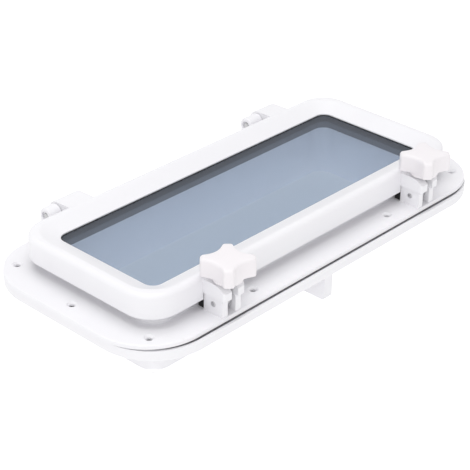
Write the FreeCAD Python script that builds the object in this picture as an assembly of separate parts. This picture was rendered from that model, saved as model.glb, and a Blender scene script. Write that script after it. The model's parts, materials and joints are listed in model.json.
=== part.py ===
import FreeCAD, Part
import math
import os

# An opening porthole for a boat: a fixed frame with a neck through the hull,
# an outer trim ring, and a glazed sash on two hinges, held shut by two star
# knobs on swing bolts. Lengths are in mm.
# X runs along the long side, +Y points to the hinges and +Z into the cabin.
# z = 0 is the flange's mounting face.

V = FreeCAD.Vector

# --- driving dimensions -------------------------------------------------
FLANGE = (440.0, 204.6, 54.0)        # length, width, corner radius
FLANGE_T = 3.5
NECK = (368.0, 143.0, 17.0)
WALL = 3.0
NECK_BOTTOM = -41.7
COAMING_TOP = 13.0                   # rim that the seal presses on
RIM_REACH = 3.5                      # how far the rim stands out from the neck

RING = (435.4, 211.2, 55.0)
RING_TOP, RING_BOTTOM = -1.5, -11.2
RING_WALL = 2.5
RING_FIT = 0.75                      # play around the neck

SPOUT_W, SPOUT_FRONT, SPOUT_BOTTOM = 10.0, -96.0, -41.4

SASH = (389.0, 162.0, 27.0)
SASH_BOTTOM, SASH_TOP = 13.1, 34.7
SASH_OPENING = (340.0, 115.4, 10.0)
GLASS = (356.2, 131.6, 18.0)
SLOPE_REACH, SLOPE_LOW = 17.0, 27.6  # the sash's top slopes down to the opening
GLASS_LOW, GLASS_HIGH = 19.9, 25.9
POCKET_TOP = 26.6                    # underside of the sash's lip
LEDGE = 22.0                         # face the retainer is screwed to
RETAINER = (382.0, 155.0, 23.5)
RETAINER_LOW = 15.5

HOLE_R, COUNTERSINK_R = 2.6, 4.5
HOLES = [(sx * x, sy * y) for x, y in ((195.0, 79.0), (87.0, 88.0))
         for sx in (-1, 1) for sy in (-1, 1)] + [(-204.5, 0.0), (204.5, 0.0)]

HINGE_Y, HINGE_Z, BARREL_R, ARM_R = 95.0, 24.3, 7.8, 9.5
HINGE_PIN_R, BUSH_R = 3.0, 4.5
# left to right: fixed knuckle, then the sash's arm
KNUCKLES = {"left": (-149.5, -137.5), "right": (100.0, 115.5)}
ARMS = {"left": (-137.0, -107.0), "right": (116.0, 143.0)}
PIN_ENDS = {"left": (-149.3, -101.0), "right": (100.2, 144.5)}

LATCH_X = {"left": -126.0, "right": 126.0}
PIN_Y, PIN_Z, LATCH_PIN_R = -91.0, 12.6, 2.5
BOLT_Y = -96.8                       # the shank stands in front of its pin
EAR_IN, EAR_OUT, EAR_FRONT, EAR_BACK, EAR_TOP = 4.5, 10.5, -101.0, -80.6, 18.9
LUG_HALF, LUG_FRONT, LUG_LOW, LUG_TOP = 12.0, -104.5, 19.8, 32.2
SLOT_HALF, NOTCH_HALF = 3.6, 11.4
PAD_HALF, PAD_TOP = 9.4, 12.6        # rubber pad between bracket and coaming
BOLT_R, BOLT_TOP, EYE_R, EYE_HALF = 3.0, 47.0, 6.5, 4.2

WASHER_R, WASHER_LOW, WASHER_HIGH = 9.0, 32.5, 33.5
HUB_R, HUB_LOW = 12.4, 33.6
KNOB_R, KNOB_LOW, KNOB_TOP = 22.2, 37.8, 54.0
WAIST_AT, WAIST_R = 34.0, 19.8       # circles that hollow the knob's sides
INSERT_R = 5.0

SCREW_R, SCREW_HEAD_R = 1.5, 2.8
RUNNING = 0.05                       # radial play of a shaft that turns
SNUG = 0.01                          # radial play of a shaft that doesn't


# --- helpers ------------------------------------------------------------
def outline(size, z):
    """A rounded rectangle, as a closed wire at height z."""
    length, width, r = size
    x, y, d = length / 2, width / 2, r * (1 - math.sqrt(0.5))
    corners = [(x, y), (-x, y), (-x, -y), (x, -y)]
    edges, ends = [], []
    for cx, cy in corners:
        sx, sy = math.copysign(1, cx), math.copysign(1, cy)
        a = V(cx, cy - sy * r, z)
        b = V(cx - sx * r, cy, z)
        m = V(cx - sx * d, cy - sy * d, z)
        if sx * sy < 0:
            a, b = b, a
        edges.append(Part.Arc(a, m, b).toShape())
        ends.append((a, b))
    for i in range(4):
        edges.append(Part.makeLine(ends[i][1], ends[(i + 1) % 4][0]))
    return Part.Wire(Part.__sortEdges__(edges))


def grown(size, by):
    """The same outline, moved outwards by a distance."""
    return (size[0] + 2 * by, size[1] + 2 * by, max(size[2] + by, 0.5))


def plate(size, low, high):
    return Part.Face(outline(size, low)).extrude(V(0, 0, high - low))


def ring(outer, inner, low, high):
    return plate(outer, low, high).cut(plate(inner, low - 1, high + 1))


def box(x0, x1, y0, y1, z0, z1):
    return Part.makeBox(x1 - x0, y1 - y0, z1 - z0, V(x0, y0, z0))


def rod_x(r, x0, x1, y, z):
    return Part.makeCylinder(r, x1 - x0, V(x0, y, z), V(1, 0, 0))


def rod_z(r, x, y, z0, z1):
    return Part.makeCylinder(r, z1 - z0, V(x, y, z0), V(0, 0, 1))


def cone_z(r0, r1, x, y, z0, z1):
    return Part.makeCone(r0, r1, z1 - z0, V(x, y, z0), V(0, 0, 1))


def profile_x(points, x0, x1):
    """A polygon in the YZ plane, drawn out along X."""
    wire = Part.makePolygon([V(x0, y, z) for y, z in points + points[:1]])
    return Part.Face(wire).extrude(V(x1 - x0, 0, 0))


def flat_edges(shape, z, size, tolerance=0.05):
    """The edges at height z that lie on an outline of the given size."""
    found = []
    x, y = size[0] / 2, size[1] / 2
    for e in shape.Edges:
        b = e.BoundBox
        if abs(b.ZMin - z) > 0.01 or abs(b.ZMax - z) > 0.01:
            continue
        reach_x, reach_y = max(abs(b.XMin), abs(b.XMax)), max(abs(b.YMin), abs(b.YMax))
        if abs(reach_x - x) < tolerance or abs(reach_y - y) < tolerance:
            found.append(e)
    return found


def countersunk_screw(x, y, z_head, z_end):
    """A flat-headed screw pointing up, its head flush at z_head."""
    head = cone_z(SCREW_HEAD_R, SCREW_R, x, y, z_head, z_head + 1.4)
    tip = cone_z(SCREW_R, 0.4, x, y, z_end - 1.5, z_end)
    recess = box(x - 0.4, x + 0.4, y - 1.6, y + 1.6, z_head - 1, z_head + 0.6)
    cross = box(x - 1.6, x + 1.6, y - 0.4, y + 0.4, z_head - 1, z_head + 0.6)
    shank = rod_z(SCREW_R, x, y, z_head + 1.4, z_end - 1.5)
    return head.fuse([shank, tip]).removeSplitter().cut(recess.fuse(cross))


# --- the fixed frame ----------------------------------------------------
def bracket_screw_places():
    places = []
    for x0, x1 in KNUCKLES.values():
        places += [((x0 + x1) / 2, HINGE_Y - 1 + s * 4.0) for s in (-1, 1)]
    for x in LATCH_X.values():
        places += [(x + s * (EAR_IN + EAR_OUT) / 2, -97.5) for s in (-1, 1)]
    return places


def main_frame():
    flange = plate(FLANGE, 0, FLANGE_T)
    flange = flange.makeFillet(1.2, flat_edges(flange, FLANGE_T, FLANGE))
    neck = plate(NECK, NECK_BOTTOM, COAMING_TOP)
    neck = neck.makeChamfer(0.8, flat_edges(neck, NECK_BOTTOM, NECK))
    rim = plate(grown(NECK, RIM_REACH), COAMING_TOP - 2.5, COAMING_TOP)
    body = flange.fuse([neck, rim]).removeSplitter()
    inside = grown(NECK, -WALL)
    body = body.cut(plate(inside, NECK_BOTTOM - 1, COAMING_TOP + 1))
    body = body.makeFillet(1.8, flat_edges(body, FLANGE_T, NECK))
    cuts = []
    for x, y in HOLES:
        cuts.append(rod_z(HOLE_R, x, y, -1, FLANGE_T + 1))
        cuts.append(cone_z(HOLE_R, COUNTERSINK_R, x, y, FLANGE_T - 1.9, FLANGE_T))
    for x, y in bracket_screw_places():
        cuts.append(rod_z(SCREW_R + 0.2, x, y, -1, FLANGE_T + 1))
        cuts.append(cone_z(SCREW_HEAD_R + 0.3, SCREW_R + 0.2, x, y, 0, 1.6))
    # the drain leaves through a slot in the neck, behind the spout
    y = -NECK[1] / 2
    cuts.append(box(-3, 3, y - 1, y + WALL + 1, -24, -16))
    return body.cut(cuts)


def hinge_bracket(side):
    x0, x1 = KNUCKLES[side]
    y, z, r = HINGE_Y, HINGE_Z, BARREL_R
    back = FLANGE[1] / 2 - 1.3
    post = box(x0, x1, y - r, back, FLANGE_T, z)
    foot = profile_x([(y - r - 2, FLANGE_T), (back, FLANGE_T),
                      (back, FLANGE_T + 3), (y - r, FLANGE_T + 3)], x0, x1)
    body = post.fuse([rod_x(r, x0, x1, y, z), foot]).removeSplitter()
    body = body.makeFillet(1.5, [e for e in body.Edges if e.BoundBox.XMax < x0 + 0.01
                                 and e.BoundBox.ZMax > z + r - 0.01])
    body = body.cut(rod_x(HINGE_PIN_R + SNUG, x0 - 1, x1 + 1, y, z))
    body = body.cut(rod_x(HINGE_PIN_R + 1.4, x0 - 1, x0 + 1.6, y, z))
    for s in (-1, 1):
        body = body.cut(rod_z(SCREW_R + SNUG, (x0 + x1) / 2, y - 1 + s * 4.0, 0, 11))
    return body


def hinge_pin(side):
    x0, x1 = PIN_ENDS[side]
    pin = rod_x(HINGE_PIN_R, x0, x1, HINGE_Y, HINGE_Z)
    return pin.makeFillet(0.6, [e for e in pin.Edges if e.Closed and e.BoundBox.XLength < 0.01])


def latch_bracket(side):
    x = LATCH_X[side]
    body = box(x - EAR_OUT, x + EAR_OUT, EAR_FRONT, EAR_BACK, FLANGE_T, EAR_TOP)
    front_top = [e for e in body.Edges
                 if e.BoundBox.YMax < EAR_FRONT + 0.01 and e.BoundBox.ZMin > EAR_TOP - 0.01]
    body = body.makeFillet(3.0, front_top)
    body = body.cut(box(x - EAR_IN, x + EAR_IN, EAR_FRONT - 1, EAR_BACK - 2.4,
                        FLANGE_T - 1, EAR_TOP + 1))
    body = body.cut(rod_x(LATCH_PIN_R + SNUG, x - 20, x + 20, PIN_Y, PIN_Z))
    for s in (-1, 1):
        body = body.cut(rod_z(SCREW_R + SNUG, x + s * (EAR_IN + EAR_OUT) / 2, -97.5, 0, 11))
    return body


def latch_pin(side):
    x = LATCH_X[side]
    pin = rod_x(LATCH_PIN_R, x - EAR_OUT - 0.7, x + EAR_OUT + 0.7, PIN_Y, PIN_Z)
    return pin.makeFillet(0.5, [e for e in pin.Edges if e.Closed and e.BoundBox.XLength < 0.01])


def latch_pad(side):
    """A rubber pad behind the latch bracket, stepped to clear the coaming's rim."""
    x, front, back = LATCH_X[side], EAR_BACK + 0.3, -NECK[1] / 2 - 2.1
    rim = -NECK[1] / 2 - RIM_REACH - 0.5
    return profile_x([(front, FLANGE_T), (back, FLANGE_T), (back, COAMING_TOP - 3.0),
                      (rim, COAMING_TOP - 3.0), (rim, PAD_TOP), (front, PAD_TOP)],
                     x - PAD_HALF, x + PAD_HALF)


def bracket_screws():
    return Part.makeCompound([countersunk_screw(x, y, 0.1, 10.5)
                              for x, y in bracket_screw_places()])


# --- the outer trim ring ------------------------------------------------
def outer_trim_ring():
    body = plate(RING, RING_BOTTOM, RING_TOP)
    body = body.makeFillet(2.0, flat_edges(body, RING_BOTTOM, RING))
    neck_hole = grown(NECK, RING_FIT)
    collar = grown(neck_hole, RING_WALL)
    hollow = plate(grown(RING, -RING_WALL), RING_BOTTOM + RING_WALL, RING_TOP + 1)
    hollow = hollow.makeFillet(
        1.0, flat_edges(hollow, RING_BOTTOM + RING_WALL, grown(RING, -RING_WALL)))
    hollow = hollow.cut(plate(collar, RING_BOTTOM, RING_TOP + 2))
    bosses = [rod_z(4.2, x, y, RING_BOTTOM, RING_TOP + 2) for x, y in HOLES]
    hollow = hollow.cut(bosses)
    body = body.cut(hollow)
    return body.cut(plate(neck_hole, RING_BOTTOM - 1, RING_TOP + 1))


def drain_spout():
    """A hood below the ring that carries water away from the neck's slot."""
    half, back = SPOUT_W / 2, -NECK[1] / 2 - RING_FIT
    top = RING_BOTTOM - 0.02
    body = box(-half, half, SPOUT_FRONT, back, SPOUT_BOTTOM, top)
    lower_front = [e for e in body.Edges
                   if e.BoundBox.YMax < SPOUT_FRONT + 0.01 and e.BoundBox.ZMax < SPOUT_BOTTOM + 0.01]
    body = body.makeFillet(3.0, lower_front)
    inside = box(-half + 2, half - 2, SPOUT_FRONT + 2, back + 1, SPOUT_BOTTOM - 1, top - 2.5)
    return body.cut(inside)


# --- the sash -----------------------------------------------------------
def retainer_screw_places():
    y, x = RETAINER[1] / 2 - 4.1, RETAINER[0] / 2 - 4.9
    places = [(sx * along, sy * y) for along in (25.0, 75.0, 152.0)
              for sx in (-1, 1) for sy in (-1, 1)]
    return places + [(sx * x, along) for sx in (-1, 1) for along in (-32.0, 0.0, 32.0)]


def fork_lug(x):
    """The lug a swing bolt drops into. Its nose is round about the bolt's pin."""
    block = box(x - LUG_HALF, x + LUG_HALF, LUG_FRONT, -SASH[1] / 2 + 2, LUG_LOW, LUG_TOP)
    sides = [e for e in block.Edges
             if e.BoundBox.YMax < LUG_FRONT + 0.01 and e.BoundBox.ZLength > 5]
    block = block.makeFillet(2.5, sides)
    nose = rod_x(LUG_TOP - PIN_Z - 0.1, x - 20, x + 20, PIN_Y, PIN_Z)
    behind = box(x - 20, x + 20, PIN_Y, -60, 0, 60)
    return block.common(nose.fuse(behind))


def tangent_point(y, z, side):
    """Where a line from (y, z) touches the hinge arm's round end."""
    dy, dz = HINGE_Y - y, HINGE_Z - z
    reach = math.hypot(dy, dz)
    turn = math.atan2(-dz, -dy) - side * math.acos(ARM_R / reach)
    return HINGE_Y + ARM_R * math.cos(turn), HINGE_Z + ARM_R * math.sin(turn)


def hinge_arm(x0, x1):
    """From the sash's top edge, round the hinge and back below."""
    root, high, low = 77.0, SASH_TOP - 0.1, 17.6
    top = V(x0, *tangent_point(root, high, 1))
    back = V(x0, HINGE_Y + ARM_R, HINGE_Z)
    under = V(x0, *tangent_point(root, low, -1))
    start, end = V(x0, root, high), V(x0, root, low)
    wire = Part.Wire([Part.makeLine(start, top), Part.Arc(top, back, under).toShape(),
                      Part.makeLine(under, end), Part.makeLine(end, start)])
    arm = Part.Face(wire).extrude(V(x1 - x0, 0, 0))
    rounded = [e for e in arm.Edges
               if e.BoundBox.XMin > x1 - 0.01 and e.BoundBox.YMax > root + 0.1]
    return arm.makeFillet(3.0, rounded)


def sash_frame():
    body = plate(SASH, SASH_BOTTOM, SASH_TOP)
    body = body.makeFillet(4.5, flat_edges(body, SASH_TOP, SASH))
    body = body.cut(plate(SASH_OPENING, SASH_BOTTOM - 1, SASH_TOP + 1))
    over = 1 + 0.6 / (SASH_TOP - SLOPE_LOW)
    slope = Part.makeLoft([outline(SASH_OPENING, SLOPE_LOW),
                           outline(grown(SASH_OPENING, SLOPE_REACH * over), SASH_TOP + 0.6)],
                          True, True)
    body = body.cut(slope)
    ridge = flat_edges(body, SASH_TOP, grown(SASH_OPENING, SLOPE_REACH))
    body = body.makeFillet(6.0, ridge)
    body = body.fuse([fork_lug(x) for x in LATCH_X.values()])
    body = body.fuse([hinge_arm(*ARMS[side]) for side in ARMS]).removeSplitter()
    cuts = [plate(grown(SASH, -WALL), SASH_BOTTOM - 1, LEDGE),
            plate(grown(GLASS, 2.9), LEDGE - 1, POCKET_TOP)]
    for x in LATCH_X.values():
        # room for the bracket, the bolt and the knob's hub
        cuts.append(box(x - NOTCH_HALF, x + NOTCH_HALF, -SASH[1] / 2 - 1,
                        -SASH[1] / 2 + WALL + 0.5, SASH_BOTTOM - 1, LUG_LOW))
        cuts.append(box(x - SLOT_HALF, x + SLOT_HALF, LUG_FRONT - 1, BOLT_Y,
                        LUG_LOW - 1, SASH_TOP + 1))
        cuts.append(rod_z(SLOT_HALF, x, BOLT_Y, LUG_LOW - 1, SASH_TOP + 1))
        cuts.append(rod_z(HUB_R + 1.2, x, BOLT_Y, LUG_TOP, SASH_TOP + 1))
    for x0, x1 in ARMS.values():
        cuts.append(rod_x(BUSH_R + SNUG, x0 - 1, x1 + 1, HINGE_Y, HINGE_Z))
    for x, y in retainer_screw_places():
        cuts.append(rod_z(SCREW_R + SNUG, x, y, LEDGE - 1, 29.0))
    return body.cut(cuts)


def glass_pane():
    pane = plate(GLASS, GLASS_LOW, GLASS_HIGH)
    return pane.makeChamfer(0.4, flat_edges(pane, GLASS_HIGH, GLASS)
                            + flat_edges(pane, GLASS_LOW, GLASS))


def glazing_gasket():
    outer = grown(GLASS, 2.8)
    body = ring(outer, grown(SASH_OPENING, -0.7), GLASS_LOW - 1.4, POCKET_TOP - 0.1)
    return body.cut(plate(grown(GLASS, 0.05), GLASS_LOW - 0.05, GLASS_HIGH + 0.05))


def glazing_retainer():
    lip = grown(SASH_OPENING, 1.3)
    body = ring(RETAINER, lip, RETAINER_LOW, 18.4)
    upstand = ring(RETAINER, grown(GLASS, 3.5), 18.4, LEDGE - 0.1)
    skirt = ring(grown(lip, 2.5), lip, RETAINER_LOW - 3.0, RETAINER_LOW)
    body = body.fuse([upstand, skirt]).removeSplitter()
    cuts = []
    for x, y in retainer_screw_places():
        cuts.append(rod_z(SCREW_R + 0.2, x, y, RETAINER_LOW - 1, LEDGE + 1))
        cuts.append(cone_z(SCREW_HEAD_R + 0.3, SCREW_R + 0.2, x, y,
                           RETAINER_LOW, RETAINER_LOW + 1.6))
    return body.cut(cuts)


def retainer_screws():
    return Part.makeCompound([countersunk_screw(x, y, RETAINER_LOW + 0.1, 28.0)
                              for x, y in retainer_screw_places()])


def compression_seal():
    rim = grown(NECK, RIM_REACH - 0.5)
    body = ring(rim, grown(NECK, -2.5), COAMING_TOP + 0.35, RETAINER_LOW - 0.05)
    return body


def hinge_bush(side):
    x0, x1 = ARMS[side]
    body = rod_x(BUSH_R, x0, x1, HINGE_Y, HINGE_Z)
    return body.cut(rod_x(HINGE_PIN_R + RUNNING, x0 - 1, x1 + 1, HINGE_Y, HINGE_Z))


# --- the latches --------------------------------------------------------
def swing_bolt(side):
    """An eye bolt that swings on the bracket's pin."""
    x = LATCH_X[side]
    eye = rod_x(EYE_R, x - EYE_HALF, x + EYE_HALF, PIN_Y, PIN_Z)
    shank = rod_z(BOLT_R, x, BOLT_Y, PIN_Z, BOLT_TOP)
    shank = shank.makeChamfer(0.8, [e for e in shank.Edges
                                    if e.Closed and e.BoundBox.ZMin > BOLT_TOP - 0.01])
    body = eye.fuse(shank).removeSplitter()
    return body.cut(rod_x(LATCH_PIN_R + RUNNING, x - 20, x + 20, PIN_Y, PIN_Z))


def knob_washer(side):
    x = LATCH_X[side]
    body = rod_z(WASHER_R, x, BOLT_Y, WASHER_LOW, WASHER_HIGH)
    return body.cut(rod_z(BOLT_R + 0.3, x, BOLT_Y, WASHER_LOW - 1, WASHER_HIGH + 1))


def star(x, y, low, high):
    """Four lobes with hollow sides between them."""
    body = rod_z(KNOB_R, x, y, low, high)
    for i in range(4):
        a = i * math.pi / 2
        body = body.cut(rod_z(WAIST_R, x + WAIST_AT * math.cos(a),
                              y + WAIST_AT * math.sin(a), low - 1, high + 1))
    upright = [e for e in body.Edges if e.BoundBox.ZLength > (high - low) / 2]
    body = body.makeFillet(2.2, upright)
    ends = [e for e in body.Edges if e.BoundBox.ZLength < 0.01]
    return body.makeFillet(1.2, ends)


def knob_grip(side):
    x = LATCH_X[side]
    hub = rod_z(HUB_R, x, BOLT_Y, HUB_LOW, KNOB_LOW + 3)
    hub = hub.makeFillet(0.8, [e for e in hub.Edges
                               if e.Closed and e.BoundBox.ZMax < HUB_LOW + 0.01])
    body = star(x, BOLT_Y, KNOB_LOW, KNOB_TOP).fuse(hub).removeSplitter()
    body = body.cut(rod_z(INSERT_R + SNUG, x, BOLT_Y, HUB_LOW - 1, 46.0))
    return body.cut(rod_z(BOLT_R + 0.4, x, BOLT_Y, 45.0, 49.5))


def knob_insert(side):
    x = LATCH_X[side]
    body = rod_z(INSERT_R, x, BOLT_Y, HUB_LOW + 0.3, 45.9)
    return body.cut(rod_z(BOLT_R + RUNNING, x, BOLT_Y, HUB_LOW - 1, 47.0))


# --- the parts, one file per node ---------------------------------------
def build():
    parts = {"main_frame": main_frame(), "bracket_screws": bracket_screws(),
             "outer_trim_ring": outer_trim_ring(), "drain_spout": drain_spout(),
             "sash_frame": sash_frame(), "glass_pane": glass_pane(),
             "glazing_gasket": glazing_gasket(), "glazing_retainer": glazing_retainer(),
             "retainer_screws": retainer_screws(), "compression_seal": compression_seal()}
    for side in ("left", "right"):
        for make in (hinge_bracket, hinge_pin, latch_bracket, latch_pin, latch_pad,
                     hinge_bush, swing_bolt, knob_washer, knob_grip, knob_insert):
            parts[f"{make.__name__}_{side}"] = make(side)
    return parts


os.makedirs("parts", exist_ok=True)
for name, shape in build().items():
    assert shape.isValid(), name
    shape.exportStep(f"parts/{name}.step")
    b = shape.BoundBox
    print(f"{name:22s} {b.XLength:7.1f} {b.YLength:7.1f} {b.ZLength:6.1f}"
          f"  solids {len(shape.Solids):2d}  {shape.Volume / 1000:8.2f} cm3")
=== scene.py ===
# %% [markdown]
# # An opening porthole, dressed for rendering
# The frame, the sash, the brackets and the trim ring come from the CAD model
# and keep their shape. This lesson gives them their finishes, and remakes the
# small pieces that people touch or look at closely: the star knobs, the
# threaded swing bolts, the pins, the washers and the rubber seal.
# %% Load the CAD frame
import json
import math

import bmesh
import bpy
from mathutils import Matrix, Vector


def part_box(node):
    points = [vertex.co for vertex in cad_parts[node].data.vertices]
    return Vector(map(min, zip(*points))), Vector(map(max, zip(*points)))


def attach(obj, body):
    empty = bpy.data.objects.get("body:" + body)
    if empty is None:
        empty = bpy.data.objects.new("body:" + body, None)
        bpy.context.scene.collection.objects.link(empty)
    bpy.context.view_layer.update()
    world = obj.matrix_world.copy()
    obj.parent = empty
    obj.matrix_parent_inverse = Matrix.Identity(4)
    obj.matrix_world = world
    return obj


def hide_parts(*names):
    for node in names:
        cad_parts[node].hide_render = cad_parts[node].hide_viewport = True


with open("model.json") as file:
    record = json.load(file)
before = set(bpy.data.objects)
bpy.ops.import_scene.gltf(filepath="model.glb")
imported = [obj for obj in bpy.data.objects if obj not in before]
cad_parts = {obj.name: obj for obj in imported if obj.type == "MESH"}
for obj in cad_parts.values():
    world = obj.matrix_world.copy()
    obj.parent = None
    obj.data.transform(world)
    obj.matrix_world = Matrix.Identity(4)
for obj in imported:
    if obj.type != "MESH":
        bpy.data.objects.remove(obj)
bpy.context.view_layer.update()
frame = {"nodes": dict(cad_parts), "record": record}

MM = 0.001      # one millimetre in metres
nodes = frame["nodes"]

# %% [markdown]
# ## Where things are
# Every place comes from the CAD pieces' own boxes. A swing bolt turns on its
# clevis pin, but its shaft stands a little further out, under the washer. The
# table lies under the foot of the neck.
# %% Places taken from the frame
SIDES = ("left", "right")


def middle(node):
    low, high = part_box(node)
    return (low + high) / 2


pin_at = {side: middle(f"latch_pin_{side}") for side in SIDES}
shaft_at = {side: middle(f"knob_washer_{side}") for side in SIDES}
table_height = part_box("main_frame")[0].z
for side in SIDES:
    print(side, "pin", [round(v / MM, 1) for v in pin_at[side]],
          "shaft", [round(v / MM, 1) for v in shaft_at[side]])

# %% [markdown]
# ## Helpers for finishes
# A finish is a small graph of shader nodes. It starts with a Principled shader
# and the piece's own Object coordinates, which are in metres, so a grain has
# its real size whatever the piece's size is. Noise makes the grain.
# %% New material and noise
def new_material(name):
    material = bpy.data.materials.new(name)
    material.use_nodes = True
    tree = material.node_tree
    shader = tree.nodes["Principled BSDF"]
    coords = tree.nodes.new("ShaderNodeTexCoord")
    return material, tree, shader, coords.outputs["Object"]


def noise(tree, coords, scale, detail=3.0, rough=0.55, stretch=None):
    """Noise of the given scale, in bumps per metre. stretch scales the axes."""
    if stretch:
        mapping = tree.nodes.new("ShaderNodeMapping")
        mapping.inputs["Scale"].default_value = stretch
        tree.links.new(coords, mapping.inputs["Vector"])
        coords = mapping.outputs["Vector"]
    node = tree.nodes.new("ShaderNodeTexNoise")
    node.inputs["Scale"].default_value = scale
    node.inputs["Detail"].default_value = detail
    node.inputs["Roughness"].default_value = rough
    tree.links.new(coords, node.inputs["Vector"])
    return node.outputs["Fac"]


print("a scale of 1000 bumps per metre is one bump every", 1 / 1000 / MM, "mm")

# %% [markdown]
# Noise seldom leaves its middle values. A Map Range node stretches that middle
# over the band that a finish needs, and the result sets a roughness or mixes
# two colours that are close to each other.
# %% Bands and blends
NOISE_LOW, NOISE_HIGH = 0.3, 0.7


def band(tree, value, low, high, start=NOISE_LOW, end=NOISE_HIGH):
    """Maps value from start..end to low..high."""
    node = tree.nodes.new("ShaderNodeMapRange")
    node.inputs["From Min"].default_value = start
    node.inputs["From Max"].default_value = end
    node.inputs["To Min"].default_value = low
    node.inputs["To Max"].default_value = high
    tree.links.new(value, node.inputs["Value"])
    return node.outputs["Result"]


def blend_colours(tree, factor, first, second):
    node = tree.nodes.new("ShaderNodeMix")
    node.data_type = "RGBA"
    for socket, colour in (("A", first), ("B", second)):
        target = [s for s in node.inputs if s.name == socket and s.type == "RGBA"][0]
        target.default_value = (*colour, 1.0)
    tree.links.new(factor, node.inputs["Factor"])
    return [s for s in node.outputs if s.type == "RGBA"][0]


print("noise is read from", NOISE_LOW, "to", NOISE_HIGH)

# %% [markdown]
# Very shallow relief is left to Bump nodes, which only tilt the shading. They
# can be chained: a new one takes over the normal of the one before it.
# %% Bump
def bump(tree, shader, height, strength, distance):
    node = tree.nodes.new("ShaderNodeBump")
    node.inputs["Strength"].default_value = strength
    node.inputs["Distance"].default_value = distance
    tree.links.new(height, node.inputs["Height"])
    previous = shader.inputs["Normal"]
    if previous.is_linked:
        tree.links.new(previous.links[0].from_socket, node.inputs["Normal"])
    tree.links.new(node.outputs["Normal"], shader.inputs["Normal"])


print("finish helpers ready: noise, band, blend_colours, bump")

# %% [markdown]
# ## Moulded white plastic
# The porthole is injection-moulded ABS. Its gloss is soft rather than bright,
# it has a faint orange peel from the mould, and its white wanders a little
# where the plastic flowed. A broad noise does the colour, and finer ones do
# the gloss and the peel. The knobs come from another mould and are a touch
# warmer.
# %% White plastic
PLASTIC_IOR = 1.52


def moulded_plastic(name, light, shade, roughness, peel=0.10):
    material, tree, shader, coords = new_material(name)
    flow = noise(tree, coords, 9.0, 2.0, stretch=(1.0, 2.2, 2.2))
    specks = noise(tree, coords, 210.0, 4.0, 0.6)
    tree.links.new(blend_colours(tree, band(tree, flow, 0.0, 1.0), light, shade),
                   shader.inputs["Base Color"])
    tree.links.new(band(tree, specks, roughness - 0.05, roughness + 0.06),
                   shader.inputs["Roughness"])
    shader.inputs["IOR"].default_value = PLASTIC_IOR
    bump(tree, shader, noise(tree, coords, 1400.0, 2.0), peel, 0.06 * MM)
    bump(tree, shader, noise(tree, coords, 160.0, 2.0), peel, 0.12 * MM)
    return material


white_abs = moulded_plastic("white_abs", (0.885, 0.880, 0.905), (0.865, 0.858, 0.888), 0.36)
knob_white = moulded_plastic("knob_white", (0.880, 0.850, 0.872), (0.862, 0.830, 0.855), 0.40)
print("made", white_abs.name, "and", knob_white.name)

# %% [markdown]
# ## Tinted pane
# The pane is a smoke-blue acrylic sheet. A sheet this thin barely bends what
# is seen through it, so a Transparent shader gives the tint and lets the
# light through to the neck below, and a glossy skin over it mirrors the room,
# more so at a low angle. Wipe marks make that skin slightly uneven.
# %% Tinted pane
ACRYLIC_IOR = 1.49
SKIN_SHARE = 0.20       # how much of the pane's look is its skin


def tinted_sheet(name, passes, body):
    material, tree, shader, coords = new_material(name)
    wipes = noise(tree, coords, 14.0, 3.0, stretch=(1.0, 4.0, 1.0))
    tree.links.new(band(tree, wipes, 0.05, 0.11), shader.inputs["Roughness"])
    wiped = tuple(channel * 1.06 for channel in body)
    tree.links.new(blend_colours(tree, band(tree, wipes, 0.0, 1.0), body, wiped),
                   shader.inputs["Base Color"])
    shader.inputs["IOR"].default_value = ACRYLIC_IOR
    bump(tree, shader, noise(tree, coords, 6.0, 1.0), 0.05, 0.5 * MM)
    clear = tree.nodes.new("ShaderNodeBsdfTransparent")
    clear.inputs["Color"].default_value = (*passes, 1.0)
    mix = tree.nodes.new("ShaderNodeMixShader")
    mix.inputs["Fac"].default_value = SKIN_SHARE
    tree.links.new(clear.outputs["BSDF"], mix.inputs[1])
    tree.links.new(shader.outputs["BSDF"], mix.inputs[2])
    output = tree.nodes["Material Output"]
    tree.links.new(mix.outputs["Shader"], output.inputs["Surface"])
    return material


tinted_pane = tinted_sheet("tinted_pane", (0.73, 0.79, 0.855), (0.37, 0.40, 0.47))
print("made", tinted_pane.name)

# %% [markdown]
# ## Rubber and dark plastic
# Rubber is nearly black and chalky, with a fine grain and some dust in it. The
# ring that holds the pane from below is a harder dark plastic, with a bit more
# gloss. The same graph gives both.
# %% Rubber and dark plastic
def dark_grain(name, dark, lighter, roughness, grain):
    material, tree, shader, coords = new_material(name)
    dust = noise(tree, coords, 60.0, 5.0, 0.65)
    tree.links.new(blend_colours(tree, band(tree, dust, 0.0, 1.0, 0.45, 0.75), dark, lighter),
                   shader.inputs["Base Color"])
    tree.links.new(band(tree, dust, roughness - 0.08, roughness + 0.08),
                   shader.inputs["Roughness"])
    bump(tree, shader, noise(tree, coords, grain, 3.0), 0.25, 0.1 * MM)
    return material


black_rubber = dark_grain("black_rubber", (0.012, 0.012, 0.013), (0.035, 0.034, 0.036), 0.72, 1800.0)
dark_plastic = dark_grain("dark_plastic", (0.020, 0.022, 0.026), (0.040, 0.043, 0.050), 0.50, 1100.0)
print("made", black_rubber.name, "and", dark_plastic.name)

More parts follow.
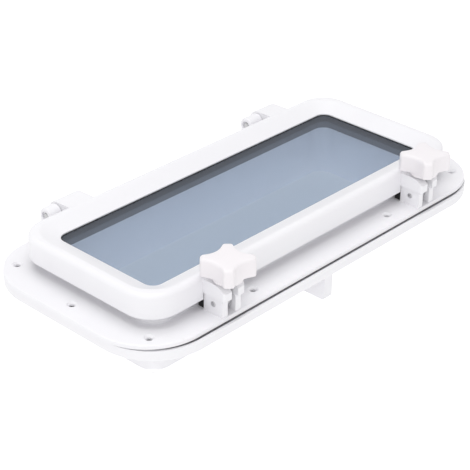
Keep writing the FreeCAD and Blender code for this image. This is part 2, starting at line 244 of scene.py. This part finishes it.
# %% [markdown]
# ## Steel and brass
# The steel is drawn, so its scratches run along X, the way the pins lie: the
# noise is stretched out on that axis. The brass inserts stand upright, and
# their scratches run along Z.
# %% Steel and brass
def turned_metal(name, colour, worn, roughness, stretch):
    material, tree, shader, coords = new_material(name)
    lines = noise(tree, coords, 900.0, 3.0, 0.6, stretch=stretch)
    stain = noise(tree, coords, 90.0, 3.0)
    tree.links.new(blend_colours(tree, band(tree, stain, 0.0, 1.0), colour, worn),
                   shader.inputs["Base Color"])
    tree.links.new(band(tree, lines, roughness - 0.07, roughness + 0.10),
                   shader.inputs["Roughness"])
    shader.inputs["Metallic"].default_value = 1.0
    bump(tree, shader, lines, 0.12, 0.05 * MM)
    return material


stainless = turned_metal("stainless", (0.62, 0.62, 0.63), (0.52, 0.52, 0.53), 0.28, (0.05, 1.0, 1.0))
brass = turned_metal("brass", (0.72, 0.55, 0.28), (0.62, 0.46, 0.22), 0.30, (1.0, 1.0, 0.1))
print("made", stainless.name, "and", brass.name)

# %% [markdown]
# ## Dress the CAD pieces
# The record says which finish each CAD piece has, so one loop assigns them
# all. Their shape stays as it is: the moulded edges are already rounded there.
# %% Assign finishes
FINISHES = {"white_abs": white_abs, "knob_white": knob_white, "tinted_pane": tinted_pane,
            "black_rubber": black_rubber, "dark_plastic": dark_plastic,
            "stainless": stainless, "brass": brass}
for part in frame["record"]["subparts"]:
    nodes[part["node"]].data.materials.clear()
    nodes[part["node"]].data.materials.append(FINISHES[part["material_slot"]])

# %% [markdown]
# ## Building new pieces
# Each new piece is made in a bmesh, already in its place in metres, and then
# turned into an object at the origin. Shading is smooth up to a sharp corner.
# The piece rides on its body and takes the place of the CAD piece it remakes.
# %% Finish a bmesh as a piece
SHARP_FROM = math.radians(40.0)


def finish_piece(bm, name, body, slot, replaced):
    bmesh.ops.remove_doubles(bm, verts=bm.verts, dist=0.0001 * MM)
    bmesh.ops.recalc_face_normals(bm, faces=bm.faces)
    mesh = bpy.data.meshes.new(name)
    bm.to_mesh(mesh)
    bm.free()
    mesh.materials.append(FINISHES[slot])
    mesh.shade_smooth()
    mesh.set_sharp_from_angle(angle=SHARP_FROM)
    piece = bpy.data.objects.new(name, mesh)
    bpy.context.scene.collection.objects.link(piece)
    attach(piece, body)
    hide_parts(*replaced)
    print(name, len(mesh.polygons), "faces")


print("corners are sharp from", round(math.degrees(SHARP_FROM)), "degrees")

# %% [markdown]
# ## The star knobs
# A star knob has four lobes with hollow sides. Seen from above, each hollow is
# an arc about a point outside the knob, and each lobe an arc about the middle.
# The lesser of the two radii is the outline, and a soft minimum rounds the
# corner where they meet.
# %% Outline of the star
LOBE_R = 22.2                       # mm, as in the CAD
WAIST_AT, WAIST_R = 34.0, 19.8      # a hollow's centre and its radius
NO_HOLLOW = 60.0                    # stands for "no hollow in this direction"
SOFT = 1.6                          # mm, how widely the corners are rounded


def star_radius(angle):
    """Distance in mm from the knob's middle to its side."""
    off = (angle + math.pi / 4) % (math.pi / 2) - math.pi / 4
    reach = WAIST_R ** 2 - (WAIST_AT * math.sin(off)) ** 2
    hollow = WAIST_AT * math.cos(off) - math.sqrt(reach) if reach > 0 else NO_HOLLOW
    return -SOFT * math.log(math.exp(-LOBE_R / SOFT) + math.exp(-hollow / SOFT))


print("waist", round(star_radius(0), 1), "lobe", round(star_radius(math.pi / 4), 1))

# %% [markdown]
# One closed skin makes the knob. It starts as a circle, whose edges are
# extruded again and again, and each new ring is moved to its own radius and
# height. A ring is round or follows the star, drawn in by an inset.
# %% Climb ring by ring
def climb(bm, edges, centre, place):
    """Extrudes a ring of edges and puts each new vertex where place(angle) says."""
    new = bmesh.ops.extrude_edge_only(bm, edges=edges)["geom"]
    for v in [g for g in new if isinstance(g, bmesh.types.BMVert)]:
        angle = math.atan2(v.co.y - centre.y, v.co.x - centre.x)
        r, z = place(angle)
        v.co = Vector((centre.x + r * MM * math.cos(angle),
                       centre.y + r * MM * math.sin(angle), z * MM))
    return [g for g in new if isinstance(g, bmesh.types.BMEdge)]


def round_ring(r, z):
    return lambda angle: (r, z)


def star_ring(inset, z):
    return lambda angle: (star_radius(angle) - inset, z)


print("a star ring with an inset of 3 mm reaches", round(star_ring(3.0, 0.0)(math.pi / 4)[0], 1))

# %% [markdown]
# The rings go from the bore over the foot of the hub, out along the underside
# of the lobes, up their sides and in over the crown. The crown is nearly flat,
# and its edge is well rounded for the fingers.
# %% Rings of a knob
BOLT_BORE_R = 3.4                   # mm, room for the bolt above the insert
INSERT_R, INSERT_DEPTH = 5.05, 11.5
HUB_R, HUB_HEIGHT = 12.4, 4.2
CROWN_EDGE = ((0.0, 3.2), (0.12, 2.2), (0.5, 1.3), (1.1, 0.7), (1.9, 0.35), (3.0, 0.15))
CROWN = ((8.5, 0.03), (6.0, 0.01), (3.0, 0.0))


def knob_rings(bottom, top):
    """Places for climb, from the bore to the middle of the crown."""
    under = bottom + HUB_HEIGHT
    hub = [(BOLT_BORE_R, bottom + INSERT_DEPTH), (INSERT_R, bottom + INSERT_DEPTH),
           (INSERT_R, bottom + 0.3), (INSERT_R + 0.35, bottom),
           (HUB_R - 0.8, bottom), (HUB_R - 0.25, bottom + 0.25), (HUB_R, bottom + 0.8),
           (HUB_R, under - 0.8), (HUB_R + 0.1, under - 0.2)]
    lobes = [(1.2, under), (0.35, under + 0.25), (0.0, under + 1.1)]
    lobes += [(inset, top - drop) for inset, drop in CROWN_EDGE]
    crown = [(r, top - drop) for r, drop in CROWN]
    return ([round_ring(r, z) for r, z in hub] + [star_ring(inset, z) for inset, z in lobes]
            + [round_ring(r, z) for r, z in crown])


print("rings in a knob", len(knob_rings(0.0, 20.0)))

# %% [markdown]
# The first circle closes the bore from above, under the crown, and the last
# ring is filled to close the crown, so the knob has no hole in its skin.
# %% Build the knobs
RING_STEPS = 144
ROOF = 4.0                          # mm of plastic above the bore


def build_knob(side):
    centre = shaft_at[side]
    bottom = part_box(f"knob_grip_{side}")[0].z / MM
    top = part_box(f"knob_grip_{side}")[1].z / MM
    bm = bmesh.new()
    at = Matrix.Translation((centre.x, centre.y, (top - ROOF) * MM))
    bmesh.ops.create_circle(bm, cap_ends=True, segments=RING_STEPS,
                            radius=BOLT_BORE_R * MM, matrix=at)
    edges = list(bm.edges)
    for place in knob_rings(bottom, top):
        edges = climb(bm, edges, centre, place)
    bmesh.ops.holes_fill(bm, edges=edges, sides=0)
    finish_piece(bm, f"star_knob_{side}", f"knob_{side}", "knob_white",
                 [f"knob_grip_{side}"])


for side in SIDES:
    build_knob(side)

# %% [markdown]
# ## Turned pieces
# The eyes, washers and pins are round about an axis. Such a piece is a half
# profile spun through a full circle. The profile is a chain of points given as
# radius and height along the axis. Points on the axis itself close the ends.
# %% Spin a profile
def turned(bm, profile, centre, axis, steps):
    """Spins (radius, along) points in mm round an axis through centre."""
    axis = Vector(axis)
    side = axis.orthogonal().normalized()
    verts = [bm.verts.new(centre + side * r * MM + axis * a * MM) for r, a in profile]
    edges = [bm.edges.new(pair) for pair in zip(verts, verts[1:])]
    bmesh.ops.spin(bm, geom=verts + edges, cent=centre, axis=axis,
                   angle=math.tau, steps=steps, use_merge=True)


print("a profile is spun through", round(math.degrees(math.tau)), "degrees")

# %% [markdown]
# ## The swing bolts
# A swing bolt is an eye with a threaded shaft. The eye is a thick ring with
# rounded shoulders, spun round the pin. Its section is the same on both sides,
# so only one half of it is written down.
# %% Section of the eye
EYE_BORE_R = 2.55                   # mm, round a pin of 5 mm


def eye_section(half, eye_r):
    """Closed chain of (radius, along the pin) for an eye of the given half width."""
    upper = [(EYE_BORE_R, half - 0.4), (EYE_BORE_R + 0.4, half), (eye_r - 1.2, half),
             (eye_r - 0.35, half - 0.35), (eye_r, half - 1.2)]
    lower = [(r, -along) for r, along in upper]
    return lower + upper[::-1] + lower[:1]


print("points in the eye's section", len(eye_section(4.0, 6.5)))

# %% [markdown]
# The shaft climbs ring by ring like the knob. In the threaded part each vertex
# moves in or out with its angle and height, which leaves a true single-start
# thread. The radius is full at the crest, falls along the flank, and stays
# at the root for a little while.
# %% Radius of the thread
THREAD_PITCH, THREAD_DEPTH = 1.25, 0.62     # mm
THREAD_R = 2.98
CREST, FLANK = 0.12, 0.76                   # shares of half the pitch


def threaded_radius(angle, z):
    turn = (z / THREAD_PITCH - angle / math.tau) % 1.0
    fall = min(1.0, max(0.0, (abs(turn - 0.5) * 2 - CREST) / FLANK))
    return THREAD_R - THREAD_DEPTH * fall


def thread_ring(z):
    return lambda angle: (threaded_radius(angle, z), z)


print("thread from", threaded_radius(0.0, 0.0), "to", threaded_radius(math.pi, 0.0), "mm")

# %% [markdown]
# The shaft starts as a small dome inside the eye's rim, so that eye and shaft
# meet without a gap though the shaft stands further out than the pin. The
# thread begins above the eye and stops just below the tip.
# %% Build the swing bolts
SHAFT_R = 3.0                               # mm
DOME_R, DOME_RISE = 1.2, 2.8                # its first ring, above the pin
SHAFT_FOOT = ((2.1, 3.3), (2.7, 4.2), (SHAFT_R, 5.6), (SHAFT_R, 12.0))      # radius, rise
SHAFT_TIP = ((2.3, 0.5), (1.9, 0.0))        # radius, drop from the top
EYE_STEPS, SHAFT_STEPS, STEPS_PER_TURN = 48, 32, 8


def build_swing_bolt(side):
    pin, shaft = pin_at[side], shaft_at[side]
    low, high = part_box(f"swing_bolt_{side}")
    half, eye_r = (high.x - low.x) / 2 / MM, (high.y - pin.y) / MM
    pin_z, top = pin.z / MM, high.z / MM
    bm = bmesh.new()
    turned(bm, eye_section(half, eye_r), pin, (1, 0, 0), EYE_STEPS)
    at = Matrix.Translation((shaft.x, shaft.y, (pin_z + DOME_RISE) * MM))
    foot = bmesh.ops.create_circle(bm, cap_ends=True, segments=SHAFT_STEPS,
                                   radius=DOME_R * MM, matrix=at)
    edges = list({e for v in foot["verts"] for e in v.link_edges})
    for r, rise in SHAFT_FOOT:
        z = pin_z + rise
        edges = climb(bm, edges, shaft, round_ring(r, z))
    while z < top - 0.9:
        z += THREAD_PITCH / STEPS_PER_TURN
        edges = climb(bm, edges, shaft, thread_ring(z))
    for r, drop in SHAFT_TIP:
        edges = climb(bm, edges, shaft, round_ring(r, top - drop))
    bmesh.ops.holes_fill(bm, edges=edges, sides=0)
    finish_piece(bm, f"eye_bolt_{side}", f"bolt_{side}", "stainless",
                 [f"swing_bolt_{side}"])


for side in SIDES:
    build_swing_bolt(side)

# %% [markdown]
# ## Washers
# A washer is stamped from sheet, which rounds its upper edge and leaves the
# lower one sharper. Its hole is a little wider than the bolt.
# %% Washers
WASHER_HOLE_R = 3.3
WASHER_STEPS = 64


def build_washer(side):
    low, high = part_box(f"knob_washer_{side}")
    centre = (low + high) / 2
    r, half = (high.x - low.x) / 2 / MM, (high.z - low.z) / 2 / MM
    profile = [(WASHER_HOLE_R, -half + 0.1), (WASHER_HOLE_R + 0.1, -half),
               (r - 0.15, -half), (r, -half + 0.1),
               (r, half - 0.45), (r - 0.15, half - 0.12), (r - 0.5, half),
               (WASHER_HOLE_R + 0.3, half), (WASHER_HOLE_R, half - 0.25),
               (WASHER_HOLE_R, -half + 0.1)]
    bm = bmesh.new()
    turned(bm, profile, centre, (0, 0, 1), WASHER_STEPS)
    finish_piece(bm, f"washer_{side}", f"knob_carrier_{side}", "stainless",
                 [f"knob_washer_{side}"])


for side in SIDES:
    build_washer(side)

# %% [markdown]
# ## Pins
# The pins have domed ends, which show on the outside of the ears and of the
# hinge knuckles. An end is a quarter of an ellipse, as high as the dome.
# %% Pins with domed ends
CLEVIS_DOME, BARREL_DOME = 0.6, 0.8     # mm
PIN_STEPS, DOME_STEPS = 40, 8


def build_pin(node, name, dome):
    low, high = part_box(node)
    centre = (low + high) / 2
    r, half = (high.z - low.z) / 2 / MM, (high.x - low.x) / 2 / MM
    turns = [i * math.pi / 2 / DOME_STEPS for i in range(DOME_STEPS)]
    end = [(r * math.cos(t), half - dome + dome * math.sin(t)) for t in turns] + [(0.0, half)]
    profile = [(x, -along) for x, along in reversed(end)] + end
    bm = bmesh.new()
    turned(bm, profile, centre, (1, 0, 0), PIN_STEPS)
    finish_piece(bm, name, "frame", "stainless", [node])


for kind, name, dome in (("latch_pin", "clevis_pin", CLEVIS_DOME), ("hinge_pin", "barrel_pin", BARREL_DOME)):
    for side in SIDES:
        build_pin(f"{kind}_{side}", f"{name}_{side}", dome)

# %% [markdown]
# ## The compression seal
# The seal is a rubber strip with a soft bulb that the coaming's rim presses
# into. A cross-section is drawn once, extruded along each straight and spun
# round each corner, which is how a strip really goes round a frame.
# %% Sweep a section round a rounded rectangle
CORNER_STEPS = 14


def swept_ring(bm, section, half_x, half_y, radius):
    """section is (outwards, height) in mm, from a path at the given half sizes."""
    run_x, run_y = half_x - radius, half_y - radius
    route = [((0, 2 * run_y), (run_x, run_y)), ((-2 * run_x, 0), (-run_x, run_y)),
             ((0, -2 * run_y), (-run_x, -run_y)), ((2 * run_x, 0), (run_x, -run_y))]
    verts = [bm.verts.new(Vector((half_x + out, -run_y, z)) * MM) for out, z in section]
    edges = [bm.edges.new((verts[i - 1], verts[i])) for i in range(len(verts))]
    geom = verts + edges
    for (along_x, along_y), (corner_x, corner_y) in route:
        made = bmesh.ops.extrude_edge_only(
            bm, edges=[g for g in geom if isinstance(g, bmesh.types.BMEdge)])["geom"]
        bmesh.ops.translate(bm, vec=Vector((along_x, along_y, 0)) * MM,
                            verts=[g for g in made if isinstance(g, bmesh.types.BMVert)])
        made = [g for g in made if not isinstance(g, bmesh.types.BMFace)]
        geom = bmesh.ops.spin(bm, geom=made, cent=(corner_x * MM, corner_y * MM, 0),
                              axis=(0, 0, 1), angle=math.pi / 2, steps=CORNER_STEPS,
                              use_merge=False)["geom_last"]
    bmesh.ops.remove_doubles(bm, verts=bm.verts, dist=0.001 * MM)


print("steps in a corner of the seal", CORNER_STEPS)

# %% [markdown]
# The section has a flat back, which is glued into the sash, a narrow waist and
# a bulb below. The sash and the rim hide its sides, so a dozen points do.
# %% Build the seal
BACK_HALF = 2.4             # mm, half the width of the flat back
PATH_INSET = 2.5            # mm, from the seal's outer side to the middle of the strip
SEAL_CORNER_R = 20.0


def build_seal():
    low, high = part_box("compression_seal")
    z0, z1 = low.z / MM, high.z / MM
    section = [(-BACK_HALF, z1), (-BACK_HALF, z1 - 0.7), (-1.7, z1 - 0.9),
               (-1.9, z0 + 0.55), (-1.3, z0 + 0.12), (-0.4, z0),
               (0.5, z0), (1.4, z0 + 0.12), (2.0, z0 + 0.55),
               (1.8, z1 - 0.9), (BACK_HALF, z1 - 0.7), (BACK_HALF, z1)]
    bm = bmesh.new()
    swept_ring(bm, section, high.x / MM - PATH_INSET, high.y / MM - PATH_INSET, SEAL_CORNER_R)
    finish_piece(bm, "bulb_seal", "sash", "black_rubber", ["compression_seal"])


build_seal()

# %% [markdown]
# ## The table
# The porthole lies on its neck on a plain white table. The table glows, so it
# stays pure white in view. A Light Path node splits the glow in two: one value
# for the eye, and another for the light that falls on the object. Around the
# porthole that light is weaker, so the underside isn't washed out.
# %% Glowing white
def glowing_white(name, albedo, seen_glow, cast_glow):
    """Plain white whose glow can differ between the view and the light it casts."""
    material, tree, shader, coords = new_material(name)
    tree.links.new(blend_colours(tree, noise(tree, coords, 3.0), (albedo,) * 3, (albedo + 0.02,) * 3),
                   shader.inputs["Base Color"])
    shader.inputs["Roughness"].default_value = 0.85
    shader.inputs["Emission Color"].default_value = (1, 1, 1, 1)
    seen = tree.nodes.new("ShaderNodeLightPath").outputs["Is Camera Ray"]
    tree.links.new(band(tree, seen, cast_glow, seen_glow, 0.0, 1.0),
                   shader.inputs["Emission Strength"])
    return material


open_white = glowing_white("white_table", albedo=0.34, seen_glow=1.05, cast_glow=0.72)
shaded_white = glowing_white("shaded_table", albedo=0.50, seen_glow=0.50, cast_glow=0.95)
print("made", open_white.name, "and", shaded_white.name)

# %% [markdown]
# Inside the neck the table lies in the object's own shade, so a second sheet
# that looks duller covers it there. It still sends out enough light to keep
# the neck's inner walls pale. Its sides end under those walls, and both sheets
# lie a fraction of a millimetre below the neck's foot.
# %% Table
TABLE_HALF = 6.0                            # m
NECK_HALF_X, NECK_HALF_Y = 0.1825, 0.0700   # m


def table_piece(name, half_x, half_y, z, material):
    bm = bmesh.new()
    bmesh.ops.create_grid(bm, x_segments=1, y_segments=1, size=1.0)
    bmesh.ops.scale(bm, vec=(half_x, half_y, 1), verts=bm.verts)
    bmesh.ops.translate(bm, vec=(0, 0, z), verts=bm.verts)
    mesh = bpy.data.meshes.new(name)
    bm.to_mesh(mesh)
    bm.free()
    mesh.materials.append(material)
    piece = bpy.data.objects.new(name, mesh)
    bpy.context.scene.collection.objects.link(piece)
    print(name, "at", round(z / MM, 1), "mm")


table_piece("table", TABLE_HALF, TABLE_HALF, table_height - 0.4 * MM, open_white)
table_piece("table_in_neck", NECK_HALF_X, NECK_HALF_Y, table_height - 0.2 * MM, shaded_white)

# %% [markdown]
# ## Light
# A bright, even room gives the high-key look: a large soft lamp overhead, a
# weaker one from the front left, and a white world that fills the shadows. The
# Standard view transform keeps the whites white.
# %% World and lamps
WORLD_STRENGTH = 0.75
world = bpy.data.worlds.new("studio")
world.use_nodes = True
world.node_tree.nodes["Background"].inputs["Color"].default_value = (1.0, 1.0, 1.0, 1.0)
world.node_tree.nodes["Background"].inputs["Strength"].default_value = WORLD_STRENGTH
bpy.context.scene.world = world
bpy.context.scene.view_settings.view_transform = "Standard"


def soft_lamp(name, place, size, power):
    """A round lamp of the given width in metres and power in watts, aimed at the object."""
    lamp = bpy.data.lights.new(name, "AREA")
    lamp.shape, lamp.size, lamp.energy = "DISK", size, power
    holder = bpy.data.objects.new(name, lamp)
    holder.location = place
    holder.rotation_euler = (-Vector(place)).to_track_quat("-Z", "Y").to_euler()
    bpy.context.scene.collection.objects.link(holder)
    print(name, "lamp,", power, "W")


soft_lamp("overhead", place=(-0.25, 0.15, 1.6), size=1.5, power=9.8)
soft_lamp("front", place=(-1.3, -1.0, 0.9), size=1.2, power=3.8)

# %% [markdown]
# ## Camera
# The camera looks down at the long side with the knobs from the left, from
# about 1.4 m away with a long lens, so the far edges hardly shrink. Its turn
# is built from three directions: away from the object, right, and up.
# %% Where the camera looks from
AZIMUTH, ELEVATION, ROLL = math.radians(-47.41), math.radians(28.98), math.radians(0.85)
DISTANCE = 1.3567           # m
AIM_ABOVE_TABLE = 45.2      # mm
level = Vector((math.cos(AZIMUTH), math.sin(AZIMUTH), 0))
back = Vector((math.sin(AZIMUTH) * math.cos(ELEVATION), -math.cos(AZIMUTH) * math.cos(ELEVATION),
               math.sin(ELEVATION)))
upright = back.cross(level)
right = level * math.cos(ROLL) + upright * math.sin(ROLL)
up = upright * math.cos(ROLL) - level * math.sin(ROLL)
place = Vector((0, 0, table_height + AIM_ABOVE_TABLE * MM)) + back * DISTANCE
print("camera at", [round(v, 3) for v in place])

# %% [markdown]
# The three directions are the columns of the camera's matrix, and its place is
# the last column. A small shift of the lens slides the frame over the object
# without turning the camera.
# %% Camera
LENS, SENSOR = 117.81, 36.0             # mm
SHIFT_X, SHIFT_Y = -0.02526, -0.04266   # parts of the frame's width
camera = bpy.data.cameras.new("camera")
camera.lens, camera.sensor_width = LENS, SENSOR
camera.shift_x, camera.shift_y = SHIFT_X, SHIFT_Y
camera.clip_end = 30.0
viewer = bpy.data.objects.new("camera", camera)
viewer.matrix_world = Matrix.Translation(place) @ Matrix((right, up, back)).transposed().to_4x4()
bpy.context.scene.collection.objects.link(viewer)
bpy.context.scene.camera = viewer
print("lens", round(camera.lens, 1), "mm")
